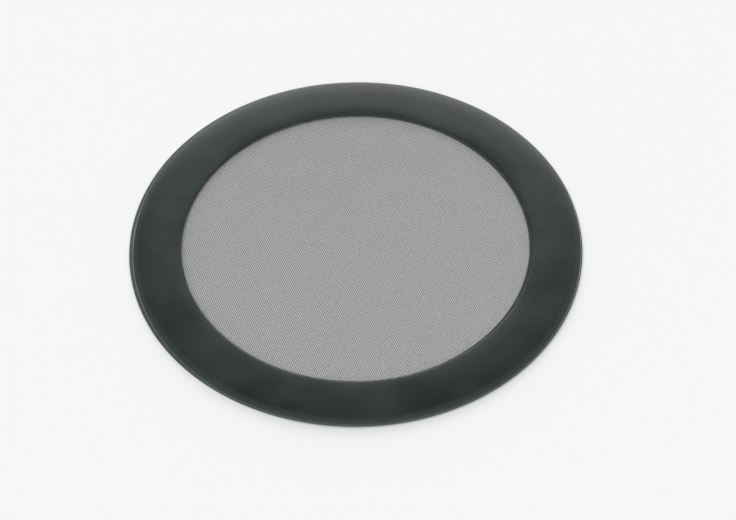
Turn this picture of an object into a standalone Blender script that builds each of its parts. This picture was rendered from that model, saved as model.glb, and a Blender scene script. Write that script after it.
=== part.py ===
"""Round magnetic dust filter for a computer fan, lying on its extra mounting ring.

Run with: blender --background --python part.py
Units are metres and +Z is up. The origin is on the surface that the filter lies on, under the middle
of the whole stack, so the filter and the mounting ring each stand half of their offset away from it.
"""

import math

import bmesh
import bpy

COLLECTION_NAME = "fan_dust_filter"

# The rings, seen from the front
WINDOW_DIAMETER = 0.0920
FRAME_WIDTH = 0.0125
MAGNET_WIDTH = 0.0130
TAPE_SETBACK = 0.0003
BOND_SETBACK = 0.0008
MOUNTING_OFFSET_X = -0.0007
MOUNTING_OFFSET_Y = 0.0005

# The layers, from the bottom up
LINER_THICKNESS = 0.00008
TAPE_THICKNESS = 0.00010
MOUNTING_MAGNET_THICKNESS = 0.00050
FILTER_MAGNET_THICKNESS = 0.00050
BOND_THICKNESS = 0.00005
GAUZE_RIM_THICKNESS = 0.00020
FRAME_EDGE_HEIGHT = 0.00014
FRAME_CROWN = 0.00024

# Rounded and cut edges
FRAME_EDGE_RADIUS = 0.00006
FRAME_EDGE_SEGMENTS = 2
CROWN_STEPS = 6
CROWN_POWER = 3
MAGNET_EDGE_CHAMFER = 0.00006
TURN_STEPS = 96
SHARP_ANGLE = math.radians(30.0)

# The gauze: crossing strands that pass over and under each other, with a gap in each square
GAUZE_PITCH = 0.0080
STRAND_WIDTH = 0.0028
STRAND_EDGE_THICKNESS = 0.00012
STRAND_CREST = 0.00022
STRAND_DIP = 0.00002
FLAT_BY_THE_SEAL = 0.0020
STRAND_FADE = 0.0030
GAUZE_TURN = math.radians(22.0)
SMALLEST_SEEN_GAP = 0.0010
SEAL_SETBACK = 0.0005
GAUZE_RIM_SETBACK = 0.0010
SEALED_GAUZE_WIDTH = 0.0030
LINES_PER_PITCH = 3

# Sizes worked out from the ones above
WINDOW_RADIUS = WINDOW_DIAMETER / 2
FRAME_RADIUS = WINDOW_RADIUS + FRAME_WIDTH
MAGNET_RADIUS = WINDOW_RADIUS + MAGNET_WIDTH
TAPE_LEVEL = LINER_THICKNESS
MOUNTING_MAGNET_LEVEL = TAPE_LEVEL + TAPE_THICKNESS
FILTER_MAGNET_LEVEL = MOUNTING_MAGNET_LEVEL + MOUNTING_MAGNET_THICKNESS
REAR_BOND_LEVEL = FILTER_MAGNET_LEVEL + FILTER_MAGNET_THICKNESS
GAUZE_LEVEL = REAR_BOND_LEVEL + BOND_THICKNESS
FRONT_BOND_LEVEL = GAUZE_LEVEL + GAUZE_RIM_THICKNESS
FRAME_LEVEL = FRONT_BOND_LEVEL + BOND_THICKNESS
GAUZE_MIDDLE = GAUZE_LEVEL + GAUZE_RIM_THICKNESS / 2
SEAL_RADIUS = WINDOW_RADIUS + SEAL_SETBACK
GAUZE_RADIUS = FRAME_RADIUS - GAUZE_RIM_SETBACK
FILTER_CENTRE = (-MOUNTING_OFFSET_X / 2, -MOUNTING_OFFSET_Y / 2, 0.0)
MOUNTING_CENTRE = (MOUNTING_OFFSET_X / 2, MOUNTING_OFFSET_Y / 2, 0.0)


def clear_scene():
    """Removes every object that the scene starts with."""
    for obj in list(bpy.data.objects):
        bpy.data.objects.remove(obj, do_unlink=True)


def new_collection(name):
    """A collection linked to the scene."""
    collection = bpy.data.collections.new(name)
    bpy.context.scene.collection.children.link(collection)
    return collection


def new_material(name, colour, roughness):
    """A Principled material with one plain colour, none of it metal."""
    material = bpy.data.materials.new(name)
    material.use_nodes = True
    shader = material.node_tree.nodes["Principled BSDF"]
    shader.inputs["Base Color"].default_value = (*colour, 1.0)
    shader.inputs["Roughness"].default_value = roughness
    shader.inputs["Metallic"].default_value = 0.0
    material.diffuse_color = (*colour, 1.0)
    return material


def add_object(name, mesh, collection, material=None):
    """An object for the mesh, in the collection."""
    obj = bpy.data.objects.new(name, mesh)
    collection.objects.link(obj)
    if material is not None:
        mesh.materials.append(material)
    return obj


def make_cutter(obj):
    """Marks a helper of a Boolean, which isn't a piece of the filter."""
    obj.hide_render = True
    obj.display_type = "WIRE"


def bake_modifiers(obj):
    """Puts the modifiers' result in the object's mesh, smooth where round and sharp at corners."""
    graph = bpy.context.evaluated_depsgraph_get()
    baked = bpy.data.meshes.new_from_object(obj.evaluated_get(graph))
    profile = obj.data
    obj.modifiers.clear()
    obj.data = baked
    bpy.data.meshes.remove(profile)
    baked.name = obj.name
    baked.shade_smooth()
    baked.set_sharp_from_angle(angle=SHARP_ANGLE)


def add_turned_ring(name, profile, centre, collection, material=None):
    """A closed profile, drawn down its outer side first, turned about the vertical axis."""
    outline = bmesh.new()
    points = [outline.verts.new((radius, 0.0, height)) for radius, height in profile]
    for start, end in zip(points, points[1:] + points[:1]):
        outline.edges.new((start, end))
    mesh = bpy.data.meshes.new(name)
    outline.to_mesh(mesh)
    outline.free()

    ring = add_object(name, mesh, collection, material)
    ring.location = centre
    turn = ring.modifiers.new("Turn", "SCREW")
    turn.axis = "Z"
    turn.angle = 2 * math.pi
    turn.steps = TURN_STEPS
    turn.render_steps = TURN_STEPS
    return ring


def flat_profile(inner_radius, outer_radius, level, thickness):
    """The section of a flat ring."""
    top = level + thickness
    return [(outer_radius, top), (outer_radius, level), (inner_radius, level), (inner_radius, top)]


def crowned_profile(inner_radius, outer_radius, level, edge_height, crown):
    """The section of a ring whose front swells gently between its two edges."""
    profile = flat_profile(inner_radius, outer_radius, level, edge_height)
    middle = (inner_radius + outer_radius) / 2
    half_width = (outer_radius - inner_radius) / 2
    for step in range(1, CROWN_STEPS):
        side = 2 * step / CROWN_STEPS - 1
        swell = crown * (1 - abs(side) ** CROWN_POWER)
        profile.append((middle + side * half_width, level + edge_height + swell))
    return profile


def soften_edges(ring, width, segments):
    """Rounds or chamfers the ring's corners."""
    bevel = ring.modifiers.new("Edges", "BEVEL")
    bevel.width = width
    bevel.segments = segments
    bevel.limit_method = "ANGLE"
    bevel.angle_limit = SHARP_ANGLE


def line_position(line):
    """Where a line of the lattice lies: a strand's middle and its two edges repeat at each pitch."""
    strand, place = divmod(line, LINES_PER_PITCH)
    offsets = (0.0, STRAND_WIDTH / 2, GAUZE_PITCH - STRAND_WIDTH / 2)
    return strand * GAUZE_PITCH + offsets[place]


def strand_height(column, row, side):
    """Height above the gauze's middle, on its upper face for side 1 and its lower face for side -1."""
    on_warp = column % LINES_PER_PITCH == 0
    on_weft = row % LINES_PER_PITCH == 0
    if on_warp and on_weft:
        return side * STRAND_CREST
    if not on_warp and not on_weft:
        return side * STRAND_EDGE_THICKNESS / 2
    nearest_warp = (column + 1) // LINES_PER_PITCH
    nearest_weft = (row + 1) // LINES_PER_PITCH
    warp_is_over = (nearest_warp + nearest_weft) % 2 == 0
    is_over = warp_is_over if on_warp else not warp_is_over
    faces_out = is_over == (side > 0)
    return side * (STRAND_CREST if faces_out else STRAND_DIP)


def faded_height(column, row, side):
    """The strand's height, flattened towards the sealed rim."""
    radius = math.hypot(line_position(column), line_position(row))
    inside_flat = WINDOW_RADIUS - FLAT_BY_THE_SEAL - radius
    relief = min(1.0, max(0.0, inside_flat / STRAND_FADE))
    flat = side * STRAND_EDGE_THICKNESS / 2
    return flat + relief * (strand_height(column, row, side) - flat)


def lattice_lines(vert):
    """The column and row of the lattice that a point of the even grid stands for."""
    spacing = GAUZE_PITCH / LINES_PER_PITCH
    return round(vert.co.x / spacing), round(vert.co.y / spacing)


def is_gap(face):
    """Whether the face is a gap between strands that shows in the window."""
    lines = [lattice_lines(vert) for vert in face.verts]
    column = min(line[0] for line in lines)
    row = min(line[1] for line in lines)
    between_strands = column % LINES_PER_PITCH == 1 and row % LINES_PER_PITCH == 1
    nearest = min(math.hypot(line_position(line[0]), line_position(line[1])) for line in lines)
    return between_strands and nearest < WINDOW_RADIUS - SMALLEST_SEEN_GAP


def woven_mesh(reach):
    """A square wall of crossing strands that covers a circle of the radius reach."""
    cells = 2 * math.ceil(reach / GAUZE_PITCH)
    segments = LINES_PER_PITCH * cells
    weave = bmesh.new()
    bmesh.ops.create_grid(
        weave, x_segments=segments, y_segments=segments, size=cells * GAUZE_PITCH / 2
    )
    gaps = [face for face in weave.faces if is_gap(face)]
    bmesh.ops.delete(weave, geom=gaps, context="FACES_ONLY")
    extruded = bmesh.ops.extrude_face_region(weave, geom=weave.faces[:])["geom"]
    upper = {element for element in extruded if isinstance(element, bmesh.types.BMVert)}
    for vert in weave.verts:
        column, row = lattice_lines(vert)
        side = 1 if vert in upper else -1
        vert.co = (line_position(column), line_position(row), faded_height(column, row, side))
    bmesh.ops.recalc_face_normals(weave, faces=weave.faces[:])
    mesh = bpy.data.meshes.new("filter_mesh")
    weave.to_mesh(mesh)
    weave.free()
    return mesh


def add_filter_mesh(parts, cutters, material):
    """The gauze disc: open strands in the window and a flat rim that the two bonds hold."""
    reach = SEAL_RADIUS + SEALED_GAUZE_WIDTH
    gauze = add_object("filter_mesh", woven_mesh(reach), parts, material)
    gauze.location = (FILTER_CENTRE[0], FILTER_CENTRE[1], GAUZE_MIDDLE)
    gauze.rotation_euler.z = GAUZE_TURN

    bpy.ops.mesh.primitive_cylinder_add(
        vertices=TURN_STEPS, radius=reach, depth=4 * STRAND_CREST, location=gauze.location
    )
    outline = bpy.context.object
    outline.name = "gauze_outline"
    for collection in list(outline.users_collection):
        collection.objects.unlink(outline)
    cutters.objects.link(outline)
    make_cutter(outline)

    rim_profile = flat_profile(SEAL_RADIUS, GAUZE_RADIUS, GAUZE_LEVEL, GAUZE_RIM_THICKNESS)
    rim = add_turned_ring("gauze_rim", rim_profile, FILTER_CENTRE, cutters)
    make_cutter(rim)

    trim = gauze.modifiers.new("Trim", "BOOLEAN")
    trim.operation = "INTERSECT"
    trim.object = outline
    join = gauze.modifiers.new("Rim", "BOOLEAN")
    join.operation = "UNION"
    join.object = rim
    bpy.context.view_layer.update()
    bake_modifiers(gauze)
    return gauze


def add_front_frame(parts, material):
    """The flexible vinyl ring that faces the room, gently crowned, with soft edges."""
    profile = crowned_profile(WINDOW_RADIUS, FRAME_RADIUS, FRAME_LEVEL, FRAME_EDGE_HEIGHT, FRAME_CROWN)
    frame = add_turned_ring("front_frame", profile, FILTER_CENTRE, parts, material)
    soften_edges(frame, FRAME_EDGE_RADIUS, FRAME_EDGE_SEGMENTS)
    bake_modifiers(frame)


def add_bond(name, level, parts, material):
    """A ring of adhesive between the gauze's rim and the ring beside it."""
    profile = flat_profile(SEAL_RADIUS, FRAME_RADIUS - BOND_SETBACK, level, BOND_THICKNESS)
    bond = add_turned_ring(name, profile, FILTER_CENTRE, parts, material)
    bake_modifiers(bond)


def add_magnet(name, level, thickness, centre, parts, material):
    """A ring cut from flexible magnetic sheet, with lightly broken edges."""
    profile = flat_profile(WINDOW_RADIUS, MAGNET_RADIUS, level, thickness)
    magnet = add_turned_ring(name, profile, centre, parts, material)
    soften_edges(magnet, MAGNET_EDGE_CHAMFER, 1)
    bake_modifiers(magnet)


def add_mounting_tape(parts, material):
    """The double-sided tape that fixes the mounting magnet to a case that isn't steel."""
    inner_radius = WINDOW_RADIUS + TAPE_SETBACK
    outer_radius = MAGNET_RADIUS - TAPE_SETBACK
    profile = flat_profile(inner_radius, outer_radius, TAPE_LEVEL, TAPE_THICKNESS)
    tape = add_turned_ring("mounting_tape", profile, MOUNTING_CENTRE, parts, material)
    bake_modifiers(tape)


def add_release_liner(parts, material):
    """The paper that covers the tape until the mounting ring is stuck down."""
    profile = flat_profile(WINDOW_RADIUS, MAGNET_RADIUS, 0.0, LINER_THICKNESS)
    liner = add_turned_ring("release_liner", profile, MOUNTING_CENTRE, parts, material)
    bake_modifiers(liner)


def main():
    clear_scene()
    parts = new_collection(COLLECTION_NAME)
    cutters = new_collection(COLLECTION_NAME + "_cutters")

    vinyl = new_material("black_vinyl", (0.045, 0.050, 0.047), 0.45)
    magnet = new_material("magnetic_rubber", (0.080, 0.085, 0.085), 0.60)
    gauze = new_material("black_gauze", (0.090, 0.092, 0.090), 0.55)
    adhesive = new_material("clear_adhesive", (0.550, 0.560, 0.540), 0.25)
    paper = new_material("liner_paper", (0.780, 0.800, 0.820), 0.50)

    add_release_liner(parts, paper)
    add_mounting_tape(parts, adhesive)
    add_magnet(
        "mounting_magnet", MOUNTING_MAGNET_LEVEL, MOUNTING_MAGNET_THICKNESS, MOUNTING_CENTRE, parts, magnet
    )
    add_magnet("filter_magnet", FILTER_MAGNET_LEVEL, FILTER_MAGNET_THICKNESS, FILTER_CENTRE, parts, magnet)
    add_bond("rear_bond", REAR_BOND_LEVEL, parts, adhesive)
    add_filter_mesh(parts, cutters, gauze)
    add_bond("front_bond", FRONT_BOND_LEVEL, parts, adhesive)
    add_front_frame(parts, vinyl)


if __name__ == "__main__":
    main()
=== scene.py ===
"""Looks of a round magnetic dust filter for a computer fan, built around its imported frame.

The file is laid out as an add-on and run as a script. Every length is in metres, in the frame's own
coordinates: +Z is up, out of the filter's front, and -Y points towards the camera.
"""

import math

import bpy
import numpy as np
from mathutils import Matrix, Vector, noise


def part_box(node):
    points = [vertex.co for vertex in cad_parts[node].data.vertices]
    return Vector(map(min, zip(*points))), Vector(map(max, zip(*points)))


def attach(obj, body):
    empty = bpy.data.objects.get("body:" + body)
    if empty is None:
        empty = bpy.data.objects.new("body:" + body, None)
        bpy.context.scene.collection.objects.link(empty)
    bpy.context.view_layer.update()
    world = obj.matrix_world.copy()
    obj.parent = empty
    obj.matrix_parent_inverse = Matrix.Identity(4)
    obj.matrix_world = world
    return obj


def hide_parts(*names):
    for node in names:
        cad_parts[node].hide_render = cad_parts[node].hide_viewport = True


bl_info = {
    "name": "Fan dust filter",
    "version": (1, 0, 0),
    "blender": (4, 5, 0),
    "location": "3D View > Sidebar > Dust filter",
    "description": "Dresses the frame of a round magnetic dust filter and sets its studio",
    "category": "Object",
}

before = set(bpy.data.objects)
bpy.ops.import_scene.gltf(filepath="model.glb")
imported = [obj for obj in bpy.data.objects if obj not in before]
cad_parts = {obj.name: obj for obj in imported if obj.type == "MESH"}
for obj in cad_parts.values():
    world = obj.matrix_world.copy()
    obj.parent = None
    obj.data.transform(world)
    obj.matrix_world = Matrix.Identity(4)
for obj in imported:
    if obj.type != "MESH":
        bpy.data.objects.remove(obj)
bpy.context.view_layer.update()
MILLIMETRE = 0.001

# Segments and loops of the turned rings, and the power that sets how flat the crown is in its middle
RING_SEGMENTS = 288
FILLET_STEPS = 3
FACE_LOOPS = 16
CROWN_POWER = 3

# Fillets of the rings, the height of the vinyl's outer edge, and how much higher its inner edge is
VINYL_FILLET = 0.00006
VINYL_EDGE_HEIGHT = 0.00014
VINYL_INNER_RISE = 0.00008
MAGNET_FILLET = 0.00008
LINER_FILLET = 0.00002
RIM_FILLET = 0.00006
SMOOTH_ANGLE = math.radians(40.0)

# Lie of the gauze, whose warp is straight, in a few long steps, and whose weft takes all the crimp, which
# is how far it swings to each side in thread radii
GAUZE_TURN = math.radians(22.0)
STRAND_SIDES = 3
WARP_STEPS = 6
CRIMP = 1.6

# A strand's repeats join where their ends meet, within this share of their spacing
MERGE_SHARE = 0.001

# The sealed rim starts a little outside the window and grips the strands' ends. On the way to it they are
# pressed and lose a share of their height.
SEAL_SETBACK = 0.0005
SEAL_GRIP = 0.0005
SEAL_APPROACH = 0.0013
SEAL_PRESS = 0.45

# Lengths of the slow waves in the vinyl and the gauze, and of a thread's wander
VINYL_WAVE = 0.018
GAUZE_WAVE = 0.022
THREAD_WAVE = 0.009

# Step in the noise from one thread to the next, not a whole number so that no two threads wander alike
ROW_STEP = math.e

# How far in from its outer edge the vinyl is painted paler as a highlight, and how far out from its window
# it is paler
OUTER_HIGHLIGHT = 2.0 * MILLIMETRE
INNER_PALING = 0.35 * MILLIMETRE

# The painted highlight line on each magnetic ring: how far its middle lies in from the outer edge, and half
# its width
FILTER_LINE = (0.00038, 0.00012)
MOUNTING_LINE = (0.00003, 0.00003)

# Places along Y, in outer radii, between which the painted highlight on the magnetic rings grows to its
# full strength, towards the back light
HIGHLIGHT_FROM = -0.8
HIGHLIGHT_TO = 0.2

# Grain of each finish, which is drawn coarser than it is where it would be too fine to show
EDGE_BREAKUP_GRAIN = 0.9 * MILLIMETRE
CLOUD_GRAIN = 14 * MILLIMETRE
MATTING_GRAIN = 0.7 * MILLIMETRE
STREAK_GRAIN = 0.8 * MILLIMETRE
POWDER_GRAIN = 0.25 * MILLIMETRE
HIGHLIGHT_PATCH_GRAIN = 4 * MILLIMETRE
COAT_GRAIN = 1.1 * MILLIMETRE
YARN_GRAIN = 0.12 * MILLIMETRE
FLOW_GRAIN = 5 * MILLIMETRE
FIBRE_GRAIN = 0.6 * MILLIMETRE
PAINT_GRAIN = 400 * MILLIMETRE

# Depth of each finish's relief
MATTING_DEPTH = 0.03 * MILLIMETRE
POWDER_DEPTH = 0.01 * MILLIMETRE
YARN_DEPTH = 0.008 * MILLIMETRE
FLOW_DEPTH = 0.01 * MILLIMETRE
FIBRE_DEPTH = 0.01 * MILLIMETRE

# The sheet's streaks are drawn out along X, and the paper's fibres along Y
STREAK_STRETCH = (0.12, 1.0, 1.0)
FIBRE_STRETCH = (1.0, 0.25, 1.0)

# Most of a noise texture's values lie between these
NOISE_LOW = 0.3
NOISE_HIGH = 0.7

# Roughness of each finish, at its smoothest and at its roughest. No range crosses 0.27, because a render's
# noise removal treats smoother surfaces another way and would draw a line there.
VINYL_ROUGHNESS = (0.22, 0.265)
MAGNET_ROUGHNESS = (0.46, 0.6)
THREAD_ROUGHNESS = (0.38, 0.55)
ADHESIVE_ROUGHNESS = (0.2, 0.26)
LINER_ROUGHNESS = (0.36, 0.46)
PAINT_ROUGHNESS = 0.9

# Index of refraction of each plastic
PVC_IOR = 1.53
RUBBER_IOR = 1.52
ACRYLIC_IOR = 1.47

# Sockets of a Mix node that mixes colours
MIX_SHARE = 0
MIX_FIRST = 6
MIX_SECOND = 7
MIX_RESULT = 2

# The light on a flat floor, as shares that add up to 1 so that a colour shows as it is written
WORLD_SHARE = 0.36
OVERHEAD_SHARE = 0.52
BACK_SHARE = 0.12

# Each softbox's azimuth from +Y, its elevation and how wide it looks, in degrees
OVERHEAD_BOX = (180.0, 64.0, 60.0)
BACK_BOX = (2.0, 20.0, 50.0)

# The camera, solved from the ring's outline and window in the photograph, with its lens in millimetres
CAMERA_LENS = 90.0
CAMERA_DISTANCE = 0.480
CAMERA_ELEVATION = math.radians(50.0)
CAMERA_ROLL = math.radians(-0.65)
CAMERA_AIM = (0.0032, -0.0060, 0.0)


def linear(hex_code):
    """The linear colour, with full alpha, of an sRGB hex code such as #404040."""
    codes = [int(hex_code[start : start + 2], 16) / 255 for start in (1, 3, 5)]
    rgb = [code / 12.92 if code <= 0.04045 else ((code + 0.055) / 1.055) ** 2.4 for code in codes]
    return (*rgb, 1.0)


def colour_property(name, description, hex_code):
    """A colour that a user can change."""
    return bpy.props.FloatVectorProperty(
        name=name,
        description=description,
        default=linear(hex_code),
        min=0.0,
        max=1.0,
        size=4,
        subtype="COLOR",
    )


def length_property(name, description, default):
    """A length that a user can change."""
    return bpy.props.FloatProperty(
        name=name, description=description, default=default, min=0.0, precision=5, subtype="DISTANCE"
    )


class FilterSizes(bpy.types.PropertyGroup):
    """Sizes that the frame leaves open."""

    # The real gauze is woven finer. Its pitch here is the finest that the piece's triangles allow.
    thread_pitch: length_property("Thread pitch", "Distance between neighbouring threads", 0.00048)
    thread_radius: length_property("Thread radius", "Radius of one coated thread", 0.000058)
    thread_wander: length_property("Thread wander", "How far a thread strays from its line", 0.00003)
    gauze_ripple: length_property("Gauze ripple", "Height of the gauze's slow waves", 0.00006)
    vinyl_ripple: length_property("Vinyl ripple", "Depth of the slow waves in the vinyl", 0.00005)
    floor_width: length_property("Floor width", "Width of the studio floor", 60.0)


class FilterColours(bpy.types.PropertyGroup):
    """Colours of the pieces and of the floor."""

    vinyl: colour_property("Vinyl", "Body colour of the front frame", "#05180e")
    # Paler vinyl, used for the slow clouding and for the painted highlight along the frame's edges
    vinyl_pale: colour_property("Pale vinyl", "Paler vinyl for the clouding and the painted highlight along the edges", "#303c36")
    magnet: colour_property("Magnet", "Flexible magnetic sheet", "#393f41")
    magnet_grain: colour_property("Magnet grain", "Ferrite specks in the magnetic sheet", "#50595b")
    # The painted highlight along each magnetic ring's rim
    magnet_highlight: colour_property("Magnet highlight", "Painted highlight on the magnetic sheet's rim", "#959d9b")
    thread: colour_property("Thread", "Coated thread of the gauze", "#434645")
    thread_light: colour_property("Pale thread", "Where the thread's coating is thin", "#666a68")
    adhesive: colour_property("Adhesive", "Clear acrylic adhesive, slightly yellow", "#c9c8bd")
    adhesive_thin: colour_property("Thin adhesive", "Where the adhesive film is thin", "#bab9af")
    liner: colour_property("Liner", "Coated release paper", "#dfe4e6")
    liner_fibre: colour_property("Liner fibre", "Fibres under the paper's coating", "#d3d8da")
    floor: colour_property("Floor", "Pale studio floor", "#f7f7f7")
    floor_shade: colour_property("Floor shade", "Slow shading of the studio floor", "#f6f6f6")


def add_node(tree, kind, inputs, **settings):
    """Adds a shader node with its settings, and gives its inputs values or other nodes' sockets."""
    node = tree.nodes.new(kind)
    for name, value in settings.items():
        setattr(node, name, value)
    for socket, value in inputs.items():
        if isinstance(value, bpy.types.NodeSocket):
            tree.links.new(value, node.inputs[socket])
        else:
            node.inputs[socket].default_value = value
    return node


def empty_material(name):
    """A material without nodes, and its node tree."""
    material = bpy.data.materials.new(name)
    material.use_nodes = True
    material.node_tree.nodes.clear()
    return material, material.node_tree


def calendered_vinyl(colours, centre, inner, outer):
    """Soft black PVC, calendered into sheet and die-cut."""
    # The hot rolls leave a satin shine, finely matted and slowly clouded. Its outer edge is painted paler
    # as a highlight, and it is paler along its window.
    material, tree = empty_material("soft_pvc_calendered")
    place = add_node(tree, "ShaderNodeTexCoord", {}).outputs["Object"]
    from_axis = add_node(
        tree,
        "ShaderNodeMapping",
        {"Vector": place, "Location": (-centre[0], -centre[1], 0.0), "Scale": (1.0, 1.0, 0.0)},
    )
    radius = add_node(
        tree, "ShaderNodeVectorMath", {0: from_axis.outputs["Vector"]}, operation="LENGTH"
    ).outputs["Value"]
    # Paler towards the outer edge: a painted highlight where the edge catches the light. It is also paler
    # along the window.
    outer_highlight = add_node(
        tree,
        "ShaderNodeMapRange",
        {"Value": radius, "From Min": outer - OUTER_HIGHLIGHT, "From Max": outer},
        interpolation_type="SMOOTHSTEP",
    )
    inner_paling = add_node(
        tree,
        "ShaderNodeMapRange",
        {"Value": radius, "From Min": inner + INNER_PALING, "From Max": inner, "To Max": 0.7},
        interpolation_type="SMOOTHSTEP",
    )
    edges = add_node(
        tree,
        "ShaderNodeMath",
        {0: outer_highlight.outputs["Result"], 1: inner_paling.outputs["Result"]},
        operation="MAXIMUM",
    )
    edge_breakup = add_node(
        tree, "ShaderNodeTexNoise", {"Vector": place, "Scale": 1 / EDGE_BREAKUP_GRAIN, "Detail": 4.0}
    )
    broken = add_node(
        tree,
        "ShaderNodeMapRange",
        {
            "Value": edge_breakup.outputs["Fac"],
            "From Min": NOISE_LOW,
            "From Max": NOISE_HIGH,
            "To Min": 0.55,
        },
    )
    pale_edge_share = add_node(
        tree,
        "ShaderNodeMath",
        {0: edges.outputs["Value"], 1: broken.outputs["Result"]},
        operation="MULTIPLY",
    )
    cloud = add_node(
        tree, "ShaderNodeTexNoise", {"Vector": place, "Scale": 1 / CLOUD_GRAIN, "Detail": 3.0}
    )
    bloom = add_node(
        tree,
        "ShaderNodeMapRange",
        {
            "Value": cloud.outputs["Fac"],
            "From Min": NOISE_LOW,
            "From Max": NOISE_HIGH,
            "To Max": 0.35,
        },
        interpolation_type="SMOOTHSTEP",
    )
    clouded = add_node(
        tree,
        "ShaderNodeMix",
        {MIX_SHARE: bloom.outputs["Result"], MIX_FIRST: colours.vinyl, MIX_SECOND: colours.vinyl_pale},
        data_type="RGBA",
    )
    body = add_node(
        tree,
        "ShaderNodeMix",
        {
            MIX_SHARE: pale_edge_share.outputs["Value"],
            MIX_FIRST: clouded.outputs[MIX_RESULT],
            MIX_SECOND: colours.vinyl_pale,
        },
        data_type="RGBA",
    )
    gloss = add_node(
        tree,
        "ShaderNodeMapRange",
        {
            "Value": cloud.outputs["Fac"],
            "From Min": NOISE_LOW,
            "From Max": NOISE_HIGH,
            "To Min": VINYL_ROUGHNESS[0],
            "To Max": VINYL_ROUGHNESS[1],
        },
    )
    # The roll's matting is about 0.1 mm across, and is drawn at 0.7 mm so that it shows.
    matting = add_node(
        tree,
        "ShaderNodeTexNoise",
        {"Vector": place, "Scale": 1 / MATTING_GRAIN, "Detail": 4.0, "Roughness": 0.6},
    )
    bump = add_node(
        tree,
        "ShaderNodeBump",
        {"Height": matting.outputs["Fac"], "Distance": MATTING_DEPTH, "Strength": 0.9},
    )
    shader = add_node(
        tree,
        "ShaderNodeBsdfPrincipled",
        {
            "Base Color": body.outputs[MIX_RESULT],
            "Roughness": gloss.outputs["Result"],
            "IOR": PVC_IOR,
            "Normal": bump.outputs["Normal"],
        },
    )
    add_node(tree, "ShaderNodeOutputMaterial", {"Surface": shader.outputs["BSDF"]})
    return material


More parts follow.
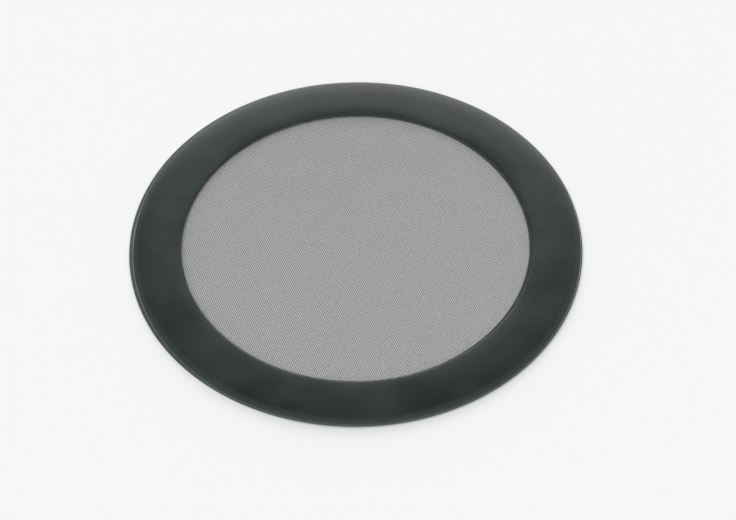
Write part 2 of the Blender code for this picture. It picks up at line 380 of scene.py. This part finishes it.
def rolled_ferrite(name, colours, centre, outer, highlight_line):
    """Magnetic sheet: ferrite powder in nitrile rubber, rolled and die-cut."""
    # The powder makes it dull dark grey with fine specks and the rolls streak it. A line near its rim
    # carries a painted highlight, which grows towards +Y, where the back light falls, and breaks into
    # patches.
    material, tree = empty_material(name)
    place = add_node(tree, "ShaderNodeTexCoord", {}).outputs["Object"]
    from_axis = add_node(
        tree,
        "ShaderNodeMapping",
        {"Vector": place, "Location": (-centre[0], -centre[1], 0.0), "Scale": (1.0, 1.0, 0.0)},
    )
    radius = add_node(
        tree, "ShaderNodeVectorMath", {0: from_axis.outputs["Vector"]}, operation="LENGTH"
    ).outputs["Value"]
    drawn = add_node(tree, "ShaderNodeMapping", {"Vector": place, "Scale": STREAK_STRETCH})
    streaks = add_node(
        tree,
        "ShaderNodeTexNoise",
        {"Vector": drawn.outputs["Vector"], "Scale": 1 / STREAK_GRAIN, "Detail": 3.0},
    )
    streaking = add_node(
        tree,
        "ShaderNodeMapRange",
        {
            "Value": streaks.outputs["Fac"],
            "From Min": 0.35,
            "From Max": 0.65,
            "To Min": 0.1,
            "To Max": 0.5,
        },
    )
    rolled = add_node(
        tree,
        "ShaderNodeMix",
        {
            MIX_SHARE: streaking.outputs["Result"],
            MIX_FIRST: colours.magnet,
            MIX_SECOND: colours.magnet_grain,
        },
        data_type="RGBA",
    )
    # The powder is a few hundredths of a millimetre across, and is drawn at 0.25 mm so that it shows.
    powder = add_node(tree, "ShaderNodeTexNoise", {"Vector": place, "Scale": 1 / POWDER_GRAIN})
    specks = add_node(
        tree,
        "ShaderNodeMapRange",
        {"Value": powder.outputs["Fac"], "From Min": 0.45, "From Max": 0.7, "To Max": 0.6},
        interpolation_type="SMOOTHSTEP",
    )
    speckled = add_node(
        tree,
        "ShaderNodeMix",
        {
            MIX_SHARE: specks.outputs["Result"],
            MIX_FIRST: rolled.outputs[MIX_RESULT],
            MIX_SECOND: colours.magnet_grain,
        },
        data_type="RGBA",
    )
    inset, half_width = highlight_line
    # A painted highlight: a line near the rim, stronger towards +Y where the back light falls, broken into
    # patches
    line = add_node(
        tree, "ShaderNodeMath", {0: radius, 1: outer - inset, 2: half_width}, operation="COMPARE"
    )
    highlight_patches = add_node(
        tree, "ShaderNodeTexNoise", {"Vector": place, "Scale": 1 / HIGHLIGHT_PATCH_GRAIN, "Detail": 3.0}
    )
    patchy = add_node(
        tree,
        "ShaderNodeMapRange",
        {"Value": highlight_patches.outputs["Fac"], "From Min": 0.3, "From Max": 0.65, "To Min": 0.5},
    )
    along_y = add_node(
        tree, "ShaderNodeVectorMath", {0: place, 1: (0.0, 1.0, 0.0)}, operation="DOT_PRODUCT"
    )
    lit_towards_back = add_node(
        tree,
        "ShaderNodeMapRange",
        {
            "Value": along_y.outputs["Value"],
            "From Min": HIGHLIGHT_FROM * outer,
            "From Max": HIGHLIGHT_TO * outer,
            "To Min": 0.08,
        },
        interpolation_type="SMOOTHSTEP",
    )
    rim_highlight = add_node(
        tree,
        "ShaderNodeMath",
        {0: line.outputs["Value"], 1: lit_towards_back.outputs["Result"]},
        operation="MULTIPLY",
    )
    pale_edge_share = add_node(
        tree,
        "ShaderNodeMath",
        {0: rim_highlight.outputs["Value"], 1: patchy.outputs["Result"]},
        operation="MULTIPLY",
    )
    body = add_node(
        tree,
        "ShaderNodeMix",
        {
            MIX_SHARE: pale_edge_share.outputs["Value"],
            MIX_FIRST: speckled.outputs[MIX_RESULT],
            MIX_SECOND: colours.magnet_highlight,
        },
        data_type="RGBA",
    )
    gloss = add_node(
        tree,
        "ShaderNodeMapRange",
        {
            "Value": streaks.outputs["Fac"],
            "From Min": NOISE_LOW,
            "From Max": NOISE_HIGH,
            "To Min": MAGNET_ROUGHNESS[0],
            "To Max": MAGNET_ROUGHNESS[1],
        },
    )
    bump = add_node(
        tree,
        "ShaderNodeBump",
        {"Height": specks.outputs["Result"], "Distance": POWDER_DEPTH, "Strength": 0.6},
    )
    shader = add_node(
        tree,
        "ShaderNodeBsdfPrincipled",
        {
            "Base Color": body.outputs[MIX_RESULT],
            "Roughness": gloss.outputs["Result"],
            "IOR": RUBBER_IOR,
            "Normal": bump.outputs["Normal"],
        },
    )
    add_node(tree, "ShaderNodeOutputMaterial", {"Surface": shader.outputs["BSDF"]})
    return material


def coated_gauze(colours):
    """Polyester yarn coated with soft PVC, woven and heat-set."""
    # The coat rounds each dark thread and gives it a soft shine that breaks up from thread to thread.
    material, tree = empty_material("pvc_coated_polyester_woven")
    place = add_node(tree, "ShaderNodeTexCoord", {}).outputs["Object"]
    coat = add_node(
        tree,
        "ShaderNodeTexNoise",
        {"Vector": place, "Scale": 1 / COAT_GRAIN, "Detail": 4.0, "Roughness": 0.65},
    )
    thin = add_node(
        tree,
        "ShaderNodeMapRange",
        {"Value": coat.outputs["Fac"], "From Min": 0.4, "From Max": 0.75},
        interpolation_type="SMOOTHSTEP",
    )
    body = add_node(
        tree,
        "ShaderNodeMix",
        {MIX_SHARE: thin.outputs["Result"], MIX_FIRST: colours.thread, MIX_SECOND: colours.thread_light},
        data_type="RGBA",
    )
    gloss = add_node(
        tree,
        "ShaderNodeMapRange",
        {
            "Value": coat.outputs["Fac"],
            "From Min": NOISE_LOW,
            "From Max": NOISE_HIGH,
            "To Min": THREAD_ROUGHNESS[0],
            "To Max": THREAD_ROUGHNESS[1],
        },
    )
    # A yarn's filaments are about 0.02 mm thick, and are drawn at 0.12 mm, about one thread's width.
    yarn = add_node(tree, "ShaderNodeTexNoise", {"Vector": place, "Scale": 1 / YARN_GRAIN})
    bump = add_node(
        tree,
        "ShaderNodeBump",
        {"Height": yarn.outputs["Fac"], "Distance": YARN_DEPTH, "Strength": 0.5},
    )
    shader = add_node(
        tree,
        "ShaderNodeBsdfPrincipled",
        {
            "Base Color": body.outputs[MIX_RESULT],
            "Roughness": gloss.outputs["Result"],
            "IOR": PVC_IOR,
            "Normal": bump.outputs["Normal"],
        },
    )
    add_node(tree, "ShaderNodeOutputMaterial", {"Surface": shader.outputs["BSDF"]})
    return material


def cast_adhesive(colours):
    """Acrylic adhesive, cast as a film."""
    # It is pale, a little yellow and glossy, and runs slowly from thick to thin.
    material, tree = empty_material("acrylic_adhesive_cast")
    place = add_node(tree, "ShaderNodeTexCoord", {}).outputs["Object"]
    flow = add_node(
        tree, "ShaderNodeTexNoise", {"Vector": place, "Scale": 1 / FLOW_GRAIN, "Detail": 3.0}
    )
    body = add_node(
        tree,
        "ShaderNodeMix",
        {MIX_SHARE: flow.outputs["Fac"], MIX_FIRST: colours.adhesive_thin, MIX_SECOND: colours.adhesive},
        data_type="RGBA",
    )
    gloss = add_node(
        tree,
        "ShaderNodeMapRange",
        {
            "Value": flow.outputs["Fac"],
            "From Min": NOISE_LOW,
            "From Max": NOISE_HIGH,
            "To Min": ADHESIVE_ROUGHNESS[0],
            "To Max": ADHESIVE_ROUGHNESS[1],
        },
    )
    bump = add_node(
        tree,
        "ShaderNodeBump",
        {"Height": flow.outputs["Fac"], "Distance": FLOW_DEPTH, "Strength": 0.4},
    )
    shader = add_node(
        tree,
        "ShaderNodeBsdfPrincipled",
        {
            "Base Color": body.outputs[MIX_RESULT],
            "Roughness": gloss.outputs["Result"],
            "IOR": ACRYLIC_IOR,
            "Normal": bump.outputs["Normal"],
        },
    )
    add_node(tree, "ShaderNodeOutputMaterial", {"Surface": shader.outputs["BSDF"]})
    return material


def siliconed_paper(colours):
    """Glassine paper, calendered and coated with silicone."""
    # It is bluish white and smooth, and faint fibres drawn out one way show under the coating.
    material, tree = empty_material("glassine_paper_siliconed")
    place = add_node(tree, "ShaderNodeTexCoord", {}).outputs["Object"]
    drawn = add_node(tree, "ShaderNodeMapping", {"Vector": place, "Scale": FIBRE_STRETCH})
    fibres = add_node(
        tree,
        "ShaderNodeTexNoise",
        {
            "Vector": drawn.outputs["Vector"],
            "Scale": 1 / FIBRE_GRAIN,
            "Detail": 5.0,
            "Roughness": 0.6,
        },
    )
    coated = add_node(
        tree,
        "ShaderNodeMapRange",
        {"Value": fibres.outputs["Fac"], "From Min": NOISE_LOW, "From Max": NOISE_HIGH},
        interpolation_type="SMOOTHSTEP",
    )
    body = add_node(
        tree,
        "ShaderNodeMix",
        {MIX_SHARE: coated.outputs["Result"], MIX_FIRST: colours.liner_fibre, MIX_SECOND: colours.liner},
        data_type="RGBA",
    )
    gloss = add_node(
        tree,
        "ShaderNodeMapRange",
        {
            "Value": coated.outputs["Result"],
            "To Min": LINER_ROUGHNESS[0],
            "To Max": LINER_ROUGHNESS[1],
        },
    )
    bump = add_node(
        tree,
        "ShaderNodeBump",
        {"Height": fibres.outputs["Fac"], "Distance": FIBRE_DEPTH, "Strength": 0.3},
    )
    shader = add_node(
        tree,
        "ShaderNodeBsdfPrincipled",
        {
            "Base Color": body.outputs[MIX_RESULT],
            "Roughness": gloss.outputs["Result"],
            "Normal": bump.outputs["Normal"],
        },
    )
    add_node(tree, "ShaderNodeOutputMaterial", {"Surface": shader.outputs["BSDF"]})
    return material


def painted_floor(colours):
    """Studio floor board, rolled with matt paint."""
    # It is pale and without shine, and hardly clouded.
    material, tree = empty_material("matt_paint_rolled")
    place = add_node(tree, "ShaderNodeTexCoord", {}).outputs["Object"]
    cloud = add_node(tree, "ShaderNodeTexNoise", {"Vector": place, "Scale": 1 / PAINT_GRAIN})
    body = add_node(
        tree,
        "ShaderNodeMix",
        {MIX_SHARE: cloud.outputs["Fac"], MIX_FIRST: colours.floor_shade, MIX_SECOND: colours.floor},
        data_type="RGBA",
    )
    shader = add_node(
        tree,
        "ShaderNodeBsdfPrincipled",
        {
            "Base Color": body.outputs[MIX_RESULT],
            "Roughness": PAINT_ROUGHNESS,
            "Specular IOR Level": 0.0,
        },
    )
    add_node(tree, "ShaderNodeOutputMaterial", {"Surface": shader.outputs["BSDF"]})
    return material


def node_ring(node):
    """Centre, outer radius, bottom and top of a ring node."""
    low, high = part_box(node)
    centre = ((low.x + high.x) / 2, (low.y + high.y) / 2)
    return centre, (high.x - low.x) / 2, low.z, high.z


def window_radius(node):
    """Inner radius of a ring node, from its point nearest to its middle."""
    centre, _, _, _ = node_ring(node)
    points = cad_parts[node].data.vertices
    return min(math.hypot(point.co.x - centre[0], point.co.y - centre[1]) for point in points)


def arc(radius, height, fillet, start):
    """A quarter round of a section, turning from the start angle."""
    angles = [start + math.pi / 2 * step / FILLET_STEPS for step in range(FILLET_STEPS + 1)]
    return [(radius + fillet * math.cos(a), height + fillet * math.sin(a)) for a in angles]


def ring_section(inner, outer, bottom, top, fillet, crown=0.0, inner_rise=0.0):
    """The section of a ring with rounded corners. Its front may be crowned and its inner edge raised."""
    low, high = bottom + fillet, top - fillet
    near, far = inner + fillet, outer - fillet
    section = arc(far, low, fillet, -math.pi / 2) + arc(far, high, fillet, 0.0)
    loops = FACE_LOOPS if crown else 1
    for step in range(1, loops):
        side = 1 - 2 * step / loops
        radius = (near + far) / 2 + side * (far - near) / 2
        fall = crown if side > 0 else crown - inner_rise
        section.append((radius, top + crown - fall * abs(side) ** CROWN_POWER))
    near_top = arc(near, high + inner_rise, fillet, math.pi / 2)
    return section + near_top + arc(near, low, fillet, math.pi)


def turned_ring(name, section, centre):
    """A circle taken round the section by extrusion and joined to its start."""
    radius, height = section[0]
    bpy.ops.object.select_all(action="DESELECT")
    bpy.ops.mesh.primitive_circle_add(
        vertices=RING_SEGMENTS, radius=radius, location=(*centre, height)
    )
    ring = bpy.context.object
    ring.name = ring.data.name = name
    bpy.ops.object.mode_set(mode="EDIT")
    bpy.ops.mesh.select_mode(type="EDGE")
    bpy.ops.mesh.select_all(action="SELECT")
    for next_radius, next_height in section[1:]:
        rise = (0.0, 0.0, next_height - height)
        bpy.ops.mesh.extrude_region_move(TRANSFORM_OT_translate={"value": rise})
        share = next_radius / radius
        bpy.ops.transform.resize(
            value=(share, share, 1.0), center_override=(*centre, next_height)
        )
        radius, height = next_radius, next_height
    bpy.ops.mesh.select_all(action="DESELECT")
    bpy.ops.mesh.select_non_manifold()
    bpy.ops.mesh.bridge_edge_loops()
    bpy.ops.mesh.select_all(action="SELECT")
    bpy.ops.mesh.normals_make_consistent(inside=False)
    bpy.ops.object.mode_set(mode="OBJECT")
    bpy.ops.object.transform_apply(location=True, rotation=True, scale=True)
    bpy.ops.object.shade_smooth_by_angle(angle=SMOOTH_ANGLE)
    return ring


def mesh_points(piece):
    """The piece's points as an array with one row each."""
    points = np.empty(3 * len(piece.data.vertices), np.float32)
    piece.data.vertices.foreach_get("co", points)
    return points.reshape(-1, 3)


def set_mesh_points(piece, points):
    """Moves the piece's points."""
    piece.data.vertices.foreach_set("co", points.astype(np.float32).ravel())
    piece.data.update()


def wave(points, wavelength):
    """Slow noise from -1 to 1 at each point, seen from above."""
    return np.array([noise.noise(Vector((x, y, 0.0)) / wavelength) for x, y, _ in points])


def dress(piece, node, material):
    """Puts the piece in the node's place, in the finish of the slot."""
    piece.data.materials.clear()
    piece.data.materials.append(material)
    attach(piece, "root")
    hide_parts(node)


class FILTER_OT_front_frame(bpy.types.Operator):
    """Model the crowned vinyl ring that faces the room"""

    bl_idname = "dust_filter.front_frame"
    bl_label = "Front frame"

    def execute(self, context):
        sizes = context.scene.filter_sizes
        centre, outer, bottom, top = node_ring("front_frame")
        inner = window_radius("front_frame")
        edge_top = bottom + VINYL_EDGE_HEIGHT
        crown = top - edge_top
        section = ring_section(inner, outer, bottom, edge_top, VINYL_FILLET, crown, VINYL_INNER_RISE)
        vinyl = turned_ring("vinyl_frame", section, centre)
        points = mesh_points(vinyl)
        share = np.clip((points[:, 2] - edge_top) / crown, 0.0, 1.0)
        # The waves only sink the crown, so the ring stays inside its node.
        dip = 0.5 + 0.5 * wave(points, VINYL_WAVE)
        points[:, 2] -= sizes.vinyl_ripple * share * dip
        set_mesh_points(vinyl, points)
        material = calendered_vinyl(context.scene.filter_colours, centre, inner, outer)
        dress(vinyl, "front_frame", material)
        return {"FINISHED"}


class FILTER_OT_magnets(bpy.types.Operator):
    """Model the filter's own magnetic ring and the mounting ring under it"""

    bl_idname = "dust_filter.magnets"
    bl_label = "Magnetic rings"

    def execute(self, context):
        colours = context.scene.filter_colours
        for node, name, highlight_line in (
            ("filter_magnet", "filter_magnet_ring", FILTER_LINE),
            ("mounting_magnet", "mounting_ring", MOUNTING_LINE),
        ):
            centre, outer, bottom, top = node_ring(node)
            section = ring_section(window_radius(node), outer, bottom, top, MAGNET_FILLET)
            finish = "ferrite_rubber_rolled_" + node
            material = rolled_ferrite(finish, colours, centre, outer, highlight_line)
            ring = turned_ring(name, section, centre)
            dress(ring, node, material)
        return {"FINISHED"}


class FILTER_OT_layers(bpy.types.Operator):
    """Model the release paper and finish the adhesive layers"""

    bl_idname = "dust_filter.layers"
    bl_label = "Adhesive layers and liner"

    def execute(self, context):
        colours = context.scene.filter_colours
        centre, outer, bottom, top = node_ring("release_liner")
        section = ring_section(window_radius("release_liner"), outer, bottom, top, LINER_FILLET)
        liner = turned_ring("liner_ring", section, centre)
        dress(liner, "release_liner", siliconed_paper(colours))
        adhesive = cast_adhesive(colours)
        for node in ("front_bond", "rear_bond", "mounting_tape"):
            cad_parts[node].material_slots[0].material = adhesive
        return {"FINISHED"}


def strand(start, step, heights, radius):
    """One strand along X from its start, with a point at each height."""
    bpy.ops.object.select_all(action="DESELECT")
    bpy.ops.mesh.primitive_circle_add(
        vertices=STRAND_SIDES,
        radius=radius,
        location=(*start, heights[0]),
        rotation=(math.pi / 2, 0.0, math.pi / 2),
    )
    bpy.ops.object.mode_set(mode="EDIT")
    bpy.ops.mesh.select_mode(type="EDGE")
    bpy.ops.mesh.select_all(action="SELECT")
    for height, next_height in zip(heights, heights[1:]):
        move = (step, 0.0, next_height - height)
        bpy.ops.mesh.extrude_region_move(TRANSFORM_OT_translate={"value": move})
    bpy.ops.object.mode_set(mode="OBJECT")
    bpy.ops.object.transform_apply(location=True, rotation=True, scale=True)
    return bpy.context.object


def repeat(piece, label, direction, distance, count, merged):
    """Repeats the piece in a row by an array that is applied."""
    row = piece.modifiers.new(label, "ARRAY")
    row.count = count
    row.use_relative_offset = False
    row.use_constant_offset = True
    row.constant_offset_displace = Vector(direction) * distance
    row.use_merge_vertices = merged
    row.merge_threshold = distance * MERGE_SHARE
    bpy.ops.object.modifier_apply(modifier=label)


def weave_weft(pitch, radius, cells):
    """Strands along X that pass over and under the straight warp, neighbours in opposite steps."""
    corner = -cells / 2 * pitch
    lift = CRIMP * radius
    rows = [
        strand((corner, corner), pitch, (lift, -lift, lift), radius),
        strand((corner, corner + pitch), pitch, (-lift, lift, -lift), radius),
    ]
    bpy.ops.object.select_all(action="DESELECT")
    for row in rows:
        row.select_set(True)
    bpy.context.view_layer.objects.active = rows[0]
    bpy.ops.object.join()
    weft = bpy.context.object
    repeat(weft, "Along", (1.0, 0.0, 0.0), 2 * pitch, cells // 2, True)
    repeat(weft, "Across", (0.0, 1.0, 0.0), 2 * pitch, cells // 2, False)
    return weft


def lay_warp(pitch, radius, cells):
    """Straight strands along X, one to each pitch."""
    corner = -cells / 2 * pitch
    step = cells * pitch / WARP_STEPS
    warp = strand((corner, corner), step, (0.0, 0.0), radius)
    repeat(warp, "Along", (1.0, 0.0, 0.0), step, WARP_STEPS, True)
    repeat(warp, "Across", (0.0, 1.0, 0.0), pitch, cells, False)
    return warp


def delete_points(piece, unwanted):
    """Deletes points and closes the ends of the strands that they leave."""
    bpy.ops.object.mode_set(mode="EDIT")
    bpy.ops.mesh.select_mode(type="VERT")
    bpy.ops.mesh.select_all(action="DESELECT")
    bpy.ops.object.mode_set(mode="OBJECT")
    piece.data.vertices.foreach_set("select", unwanted)
    bpy.ops.object.mode_set(mode="EDIT")
    bpy.ops.mesh.delete(type="VERT")
    bpy.ops.mesh.select_all(action="SELECT")
    bpy.ops.mesh.fill_holes(sides=STRAND_SIDES)
    bpy.ops.mesh.normals_make_consistent(inside=False)
    bpy.ops.object.mode_set(mode="OBJECT")


def trim_weft(weft, pitch, reach):
    """Ends each crimped strand at its last crossing inside the reach."""
    crossings = np.round(mesh_points(weft)[:, :2] / pitch) * pitch
    delete_points(weft, np.hypot(crossings[:, 0], crossings[:, 1]) > reach)


def trim_warp(warp, pitch, reach, cells):
    """Shortens each straight strand to its chord inside the reach."""
    points = mesh_points(warp)
    rows = np.round(points[:, 1] / pitch) * pitch
    chords = np.sqrt(np.clip(reach**2 - rows**2, 0.0, None))
    points[:, 0] *= chords / (cells / 2 * pitch)
    set_mesh_points(warp, points)
    delete_points(warp, chords < pitch)


def stray(sheet, pitch, distance, seed):
    """Lets each strand wander sideways along its length."""
    points = mesh_points(sheet)
    rows = np.round(points[:, 1] / pitch)
    points[:, 1] += distance * np.array(
        [
            noise.noise(Vector((x / THREAD_WAVE, row * ROW_STEP, seed)))
            for x, row in zip(points[:, 0], rows)
        ]
    )
    set_mesh_points(sheet, points)


def press_and_place(sheet, centre, middle, seal, ripple):
    """Flattens the strands towards the sealed rim, ripples them and turns them to their lie."""
    points = mesh_points(sheet)
    distance = np.hypot(points[:, 0], points[:, 1])
    near_seal = np.clip((distance - seal + SEAL_APPROACH) / SEAL_APPROACH, 0.0, 1.0)
    points[:, 2] *= 1 - SEAL_PRESS * near_seal
    points[:, 2] += ripple * (1 - near_seal) * wave(points, GAUZE_WAVE)
    set_mesh_points(sheet, points)
    lie = Matrix.Translation((*centre, middle)) @ Matrix.Rotation(GAUZE_TURN, 4, "Z")
    sheet.data.transform(lie)


class FILTER_OT_gauze(bpy.types.Operator):
    """Weave the gauze and seal its rim"""

    bl_idname = "dust_filter.gauze"
    bl_label = "Gauze"

    def execute(self, context):
        sizes = context.scene.filter_sizes
        pitch, radius = sizes.thread_pitch, sizes.thread_radius
        centre, outer, _, _ = node_ring("filter_mesh")
        rim_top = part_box("front_bond")[0].z
        rim_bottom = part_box("rear_bond")[1].z
        seal = window_radius("front_frame") + SEAL_SETBACK
        reach = seal + SEAL_GRIP
        # A repeat of the weave is two pitches wide, and as many repeats lie on each side of the middle.
        side_repeats = math.ceil(reach / pitch / 2 + 1)
        cells = 4 * side_repeats
        weft = weave_weft(pitch, radius, cells)
        trim_weft(weft, pitch, reach)
        warp = lay_warp(pitch, radius, cells)
        trim_warp(warp, pitch, reach, cells)
        for seed, sheet in enumerate((weft, warp)):
            stray(sheet, pitch, sizes.thread_wander, seed)
        warp.data.transform(Matrix.Rotation(math.pi / 2, 4, "Z"))
        for sheet in (weft, warp):
            press_and_place(sheet, centre, (rim_bottom + rim_top) / 2, seal, sizes.gauze_ripple)
        rim_section = ring_section(seal, outer, rim_bottom, rim_top, RIM_FILLET)
        rim = turned_ring("sealed_rim", rim_section, centre)
        bpy.ops.object.select_all(action="DESELECT")
        for piece in (weft, warp, rim):
            piece.select_set(True)
        bpy.context.view_layer.objects.active = weft
        bpy.ops.object.join()
        gauze = bpy.context.object
        gauze.name = gauze.data.name = "gauze"
        bpy.ops.object.shade_smooth()
        dress(gauze, "filter_mesh", coated_gauze(context.scene.filter_colours))
        return {"FINISHED"}


def add_softbox(name, placing, share):
    """A wide distant softbox that gives a flat floor its share of the light."""
    azimuth, elevation, width = (math.radians(angle) for angle in placing)
    away = Vector(
        (
            math.cos(elevation) * math.sin(azimuth),
            math.cos(elevation) * math.cos(azimuth),
            math.sin(elevation),
        )
    )
    bpy.ops.object.select_all(action="DESELECT")
    bpy.ops.object.light_add(type="SUN", location=away)
    lamp = bpy.context.object
    lamp.name = name
    lamp.rotation_euler = away.to_track_quat("Z", "Y").to_euler()
    lamp.data.angle = width
    # A sun of strength pi lights a face turned to it fully, and a flat floor by the sine of its elevation.
    lamp.data.energy = share * math.pi / math.sin(elevation)


class FILTER_OT_studio(bpy.types.Operator):
    """Set the floor, the lamps and the camera"""

    bl_idname = "dust_filter.studio"
    bl_label = "Studio"

    def execute(self, context):
        scene = context.scene
        bpy.ops.object.select_all(action="DESELECT")
        bpy.ops.mesh.primitive_plane_add(size=scene.filter_sizes.floor_width)
        floor = bpy.context.object
        floor.name = "floor"
        floor.data.materials.append(painted_floor(scene.filter_colours))

        scene.world = bpy.data.worlds.new("studio")
        scene.world.use_nodes = True
        background = scene.world.node_tree.nodes["Background"]
        background.inputs["Color"].default_value = (1.0, 1.0, 1.0, 1.0)
        background.inputs["Strength"].default_value = WORLD_SHARE
        add_softbox("overhead_softbox", OVERHEAD_BOX, OVERHEAD_SHARE)
        add_softbox("back_softbox", BACK_BOX, BACK_SHARE)

        bpy.ops.object.camera_add()
        camera = bpy.context.object
        camera.name = "photo_camera"
        camera.data.lens = CAMERA_LENS
        camera.data.sensor_fit = "HORIZONTAL"
        turned = Matrix.Rotation(math.pi / 2 - CAMERA_ELEVATION, 4, "X")
        placed = Matrix.Translation(CAMERA_AIM) @ turned @ Matrix.Translation((0, 0, CAMERA_DISTANCE))
        camera.matrix_world = placed @ Matrix.Rotation(CAMERA_ROLL, 4, "Z")
        scene.camera = camera
        scene.view_settings.view_transform = "Standard"
        return {"FINISHED"}


class FILTER_PT_pieces(bpy.types.Panel):
    """The pieces and the studio, in the order in which they are made"""

    bl_label = "Dust filter"
    bl_idname = "FILTER_PT_pieces"
    bl_space_type = "VIEW_3D"
    bl_region_type = "UI"
    bl_category = "Dust filter"

    def draw(self, context):
        for operator in OPERATORS:
            self.layout.operator(operator.bl_idname)
        for group in (context.scene.filter_sizes, context.scene.filter_colours):
            for name in group.__annotations__:
                self.layout.prop(group, name)


OPERATORS = (
    FILTER_OT_layers,
    FILTER_OT_magnets,
    FILTER_OT_gauze,
    FILTER_OT_front_frame,
    FILTER_OT_studio,
)
CLASSES = (FilterSizes, FilterColours, *OPERATORS, FILTER_PT_pieces)


def register():
    """Registers the classes and gives the scene its sizes and colours."""
    for item in CLASSES:
        bpy.utils.register_class(item)
    bpy.types.Scene.filter_sizes = bpy.props.PointerProperty(type=FilterSizes)
    bpy.types.Scene.filter_colours = bpy.props.PointerProperty(type=FilterColours)


def unregister():
    """Takes the classes and the scene's sizes and colours away."""
    del bpy.types.Scene.filter_colours
    del bpy.types.Scene.filter_sizes
    for item in reversed(CLASSES):
        bpy.utils.unregister_class(item)


def main():
    """Makes every piece and the studio."""
    register()
    bpy.ops.dust_filter.layers()
    bpy.ops.dust_filter.magnets()
    bpy.ops.dust_filter.gauze()
    bpy.ops.dust_filter.front_frame()
    bpy.ops.dust_filter.studio()


if __name__ == "__main__":
    main()
